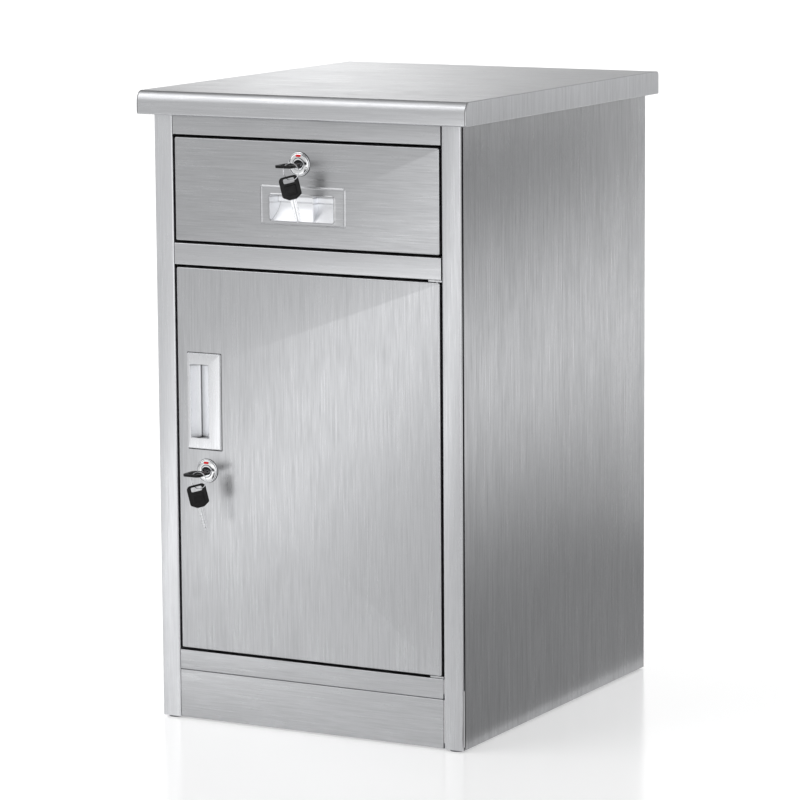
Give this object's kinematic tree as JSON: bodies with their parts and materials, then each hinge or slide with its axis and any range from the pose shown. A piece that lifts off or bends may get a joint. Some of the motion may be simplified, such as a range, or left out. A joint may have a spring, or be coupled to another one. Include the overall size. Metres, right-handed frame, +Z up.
{
  "type": "bedside cabinet",
  "caption": "Stainless steel hospital bedside cabinet with an overhanging worktop, a lockable drawer with a recessed pull, and a lockable door over a shelf.",
  "frame": {"origin": "on the floor, under the middle of the whole object's box (the keys reach 14 mm further forward than the worktop)", "axes": "+Z up, front faces -Y, +X to the right seen from the front"},
  "size_m": [0.44, 0.549, 0.76],
  "materials": {
    "brushed_steel": "long-grain brushed stainless steel, satin",
    "interior_steel": "plain mill-finish stainless sheet",
    "zinc_steel": "zinc-plated steel",
    "polished_chrome": "polished chrome plate",
    "satin_chrome": "satin chrome plate",
    "key_steel": "nickel-plated steel",
    "black_plastic": "black moulded plastic",
    "grey_plastic": "grey moulded plastic",
    "board": "raw fibreboard"
  },
  "bodies": {
    "cabinet": {"worktop": "brushed_steel", "worktop_core": "board", "side_panel_left": "brushed_steel", "side_panel_right": "brushed_steel", "back_panel": "brushed_steel", "front_post_left": "brushed_steel", "front_post_right": "brushed_steel", "kick_plate": "brushed_steel", "bottom_rail": "brushed_steel", "middle_rail": "brushed_steel", "upper_rail": "brushed_steel", "liner_left": "interior_steel", "liner_right": "interior_steel", "floor_panel": "interior_steel", "divider_panel": "interior_steel", "shelf": "interior_steel", "shelf_rest_left": "zinc_steel", "shelf_rest_right": "zinc_steel", "slide_outer_left": "zinc_steel", "slide_outer_right": "zinc_steel", "hinge_pivot_top": "zinc_steel", "hinge_pivot_bottom": "zinc_steel", "glide_front_left": "grey_plastic", "glide_front_right": "grey_plastic", "glide_rear_left": "grey_plastic", "glide_rear_right": "grey_plastic"},
    "slide_middles": {"slide_middle_left": "zinc_steel", "slide_middle_right": "zinc_steel"},
    "drawer": {"drawer_front": "brushed_steel", "drawer_inner_front": "interior_steel", "drawer_side_left": "interior_steel", "drawer_side_right": "interior_steel", "drawer_bottom": "interior_steel", "drawer_back": "interior_steel", "drawer_pull": "polished_chrome", "slide_inner_left": "zinc_steel", "slide_inner_right": "zinc_steel", "drawer_lock_housing": "polished_chrome", "drawer_lock_nut": "zinc_steel"},
    "door": {"door_outer": "brushed_steel", "door_inner": "interior_steel", "door_pull": "satin_chrome", "door_lock_housing": "polished_chrome", "door_lock_nut": "zinc_steel"},
    "drawer_plug": {"drawer_lock_plug": "polished_chrome", "drawer_lock_cam": "zinc_steel"},
    "drawer_key": {"drawer_key_bow": "black_plastic", "drawer_key_blade": "key_steel"},
    "drawer_ring": {"drawer_key_ring": "key_steel"},
    "drawer_spare": {"drawer_spare_bow": "black_plastic", "drawer_spare_blade": "key_steel"},
    "door_plug": {"door_lock_plug": "polished_chrome", "door_lock_cam": "zinc_steel"},
    "door_key": {"door_key_bow": "black_plastic", "door_key_blade": "key_steel"},
    "door_ring": {"door_key_ring": "key_steel"},
    "door_spare": {"door_spare_bow": "black_plastic", "door_spare_blade": "key_steel"}
  },
  "joints": [
    {"name": "drawer_slide", "type": "slide", "parent": "cabinet", "child": "drawer", "axis": [0, -1, 0], "range_m": [0, 0.36]},
    {"name": "slide_middle_travel", "type": "slide", "parent": "cabinet", "child": "slide_middles", "axis": [0, -1, 0], "range_m": [0, 0.18]},
    {"name": "door_hinge", "type": "hinge", "parent": "cabinet", "child": "door", "pos_m": [0.171, -0.22455, 0.0855], "axis": [0, 0, 1], "range_deg": [0, 105]},
    {"name": "drawer_lock_turn", "type": "hinge", "parent": "drawer", "child": "drawer_plug", "pos_m": [-0.0065, -0.23055, 0.68], "axis": [0, 1, 0], "range_deg": [0, 90]},
    {"name": "drawer_key_pull", "type": "slide", "parent": "drawer_plug", "child": "drawer_key", "axis": [0, -1, 0], "range_m": [0, 0.03]},
    {"name": "drawer_ring_turn", "type": "hinge", "parent": "drawer_key", "child": "drawer_ring", "pos_m": [0.002, -0.26505, 0.68], "axis": [0, 1, 0], "range_deg": [-90, 0]},
    {"name": "drawer_spare_swing", "type": "hinge", "parent": "drawer_ring", "child": "drawer_spare", "pos_m": [0.002, -0.26505, 0.6645], "axis": [0, 1, 0], "range_deg": [-15, 15]},
    {"name": "door_lock_turn", "type": "hinge", "parent": "door", "child": "door_plug", "pos_m": [-0.1377, -0.23055, 0.3074], "axis": [0, 1, 0], "range_deg": [0, 90]},
    {"name": "door_key_pull", "type": "slide", "parent": "door_plug", "child": "door_key", "axis": [0, -1, 0], "range_m": [0, 0.03]},
    {"name": "door_ring_turn", "type": "hinge", "parent": "door_key", "child": "door_ring", "pos_m": [-0.1292, -0.26505, 0.3074], "axis": [0, 1, 0], "range_deg": [-90, 0]},
    {"name": "door_spare_swing", "type": "hinge", "parent": "door_ring", "child": "door_spare", "pos_m": [-0.1292, -0.26505, 0.2919], "axis": [0, 1, 0], "range_deg": [-15, 15]}
  ],
  "couplings": [
    {"joint": "slide_middle_travel", "follows": "drawer_slide", "ratio": 0.5},
    {"joint": "drawer_ring_turn", "follows": "drawer_lock_turn", "ratio": -1},
    {"joint": "door_ring_turn", "follows": "door_lock_turn", "ratio": -1}
  ]
}
